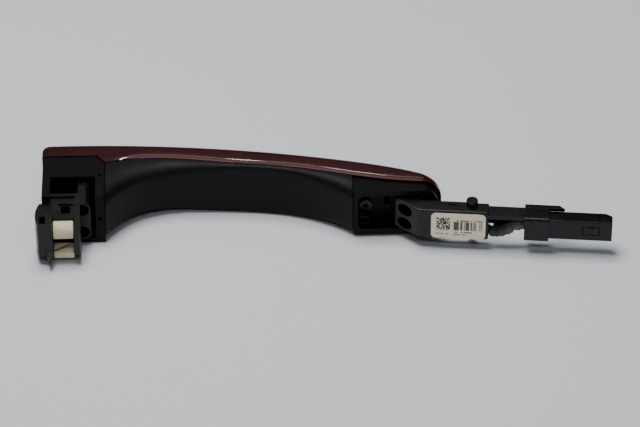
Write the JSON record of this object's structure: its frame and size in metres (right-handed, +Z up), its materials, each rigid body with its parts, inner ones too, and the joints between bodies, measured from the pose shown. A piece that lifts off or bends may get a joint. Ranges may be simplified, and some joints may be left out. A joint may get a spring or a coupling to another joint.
{
  "type": "car door handle",
  "caption": "Outside car door handle: painted strap grip with a rollered pull leg at one end and a hinge arm with lead and connector at the other.",
  "frame": {"origin": "midway between the two pivot studs, on the axis the handle swings about", "axes": "+X forward along the door towards the connector, +Y away from the door, +Z up along the swing axis"},
  "size_m": [0.3154, 0.077, 0.033],
  "materials": {
    "paint": "gloss",
    "satin_black": "satin",
    "frame_black": "satin",
    "arm_black": "satin",
    "connector_black": "satin",
    "white_acetal": "satin",
    "steel": "polished",
    "label_paper": "matte",
    "tape": "matte",
    "jacket": "matte",
    "seal": "matte",
    "board": "satin",
    "chips": "matte",
    "copper": "satin",
    "ferrite": "matte",
    "foam": "matte",
    "brass": "polished"
  },
  "bodies": {
    "handle": {"painted_cover": "paint", "grip_liner": "satin_black", "carrier": "frame_black", "pull_leg": "arm_black", "upper_roller_pin": "steel", "lower_roller_pin": "steel", "keeper_spring": "steel", "hinge_arm": "arm_black", "pivot_studs": "steel", "part_label": "label_paper", "connector_holder": "connector_black", "connector_housing": "connector_black", "terminals": "brass", "wire_seal": "seal", "lead": "jacket", "taped_bundle": "tape", "tact_switch": "chips", "sensor_board": "board", "board_parts": "chips", "board_posts": "frame_black", "ferrite_bar": "ferrite", "aerial_former": "satin_black", "aerial_winding": "copper", "aerial_pads": "foam", "arm_screws": "steel", "leg_screws": "steel", "cover_screw": "steel"},
    "upper_roller": {"upper_roller": "white_acetal"},
    "lower_roller": {"lower_roller": "white_acetal"},
    "button": {"request_button": "satin_black", "switch_plunger": "white_acetal"},
    "latch": {"connector_latch": "connector_black"}
  },
  "joints": [
    {"name": "upper_roller_spin", "type": "hinge", "parent": "handle", "child": "upper_roller", "pos_m": [-0.2236, -0.0076, 0.004], "axis": [1, 0, 0], "continuous": true},
    {"name": "lower_roller_spin", "type": "hinge", "parent": "handle", "child": "lower_roller", "pos_m": [-0.2236, -0.0078, -0.0098], "axis": [1, 0, 0], "continuous": true},
    {"name": "button_press", "type": "slide", "parent": "handle", "child": "button", "axis": [0, -1, 0], "range_m": [0, 0.0006], "stiffness_N_per_m": 2500},
    {"name": "latch_flex", "type": "hinge", "parent": "handle", "child": "latch", "pos_m": [0.06037, -0.01337, 0], "axis": [0, 0, 1], "range_deg": [0, 4], "stiffness_Nm_per_rad": 0.6}
  ]
}
